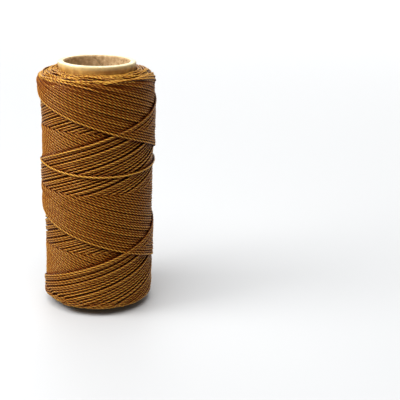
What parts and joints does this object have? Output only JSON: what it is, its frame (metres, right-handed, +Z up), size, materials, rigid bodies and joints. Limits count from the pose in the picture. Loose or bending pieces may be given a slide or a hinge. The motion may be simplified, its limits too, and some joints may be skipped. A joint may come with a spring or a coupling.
{
  "type": "waxed thread spool",
  "caption": "Paper tube carrying a cross-wound package of thick waxed thread with rounded shoulders, for hand stitching leather.",
  "frame": {"origin": "middle of the tube's lower end ring, on the surface the spool stands on", "axes": "+Z up along the tube's axis; -Y is the front, where the last turn of thread dips lowest"},
  "size_m": [0.0476, 0.0474, 0.1018],
  "materials": {
    "grey_chipboard": "matte, fibrous, with dark and pale specks",
    "tube_board": "matte, pressed cream edge",
    "parchment_paper": "smooth calendered paper, slight sheen",
    "waxed_thread": "three-ply Z-twisted polyester thread with a soft wax sheen"
  },
  "bodies": {
    "root": {"tube_inner_liner": "grey_chipboard", "tube_board_ply_1": "tube_board", "tube_board_ply_2": "tube_board", "tube_board_ply_3": "tube_board", "tube_board_ply_4": "tube_board", "tube_outer_wrap": "parchment_paper", "thread_start_end": "waxed_thread", "thread_first_layers": "waxed_thread", "thread_middle_layers": "waxed_thread", "thread_outer_layers": "waxed_thread", "thread_finish_turn": "waxed_thread"}
  },
  "joints": []
}
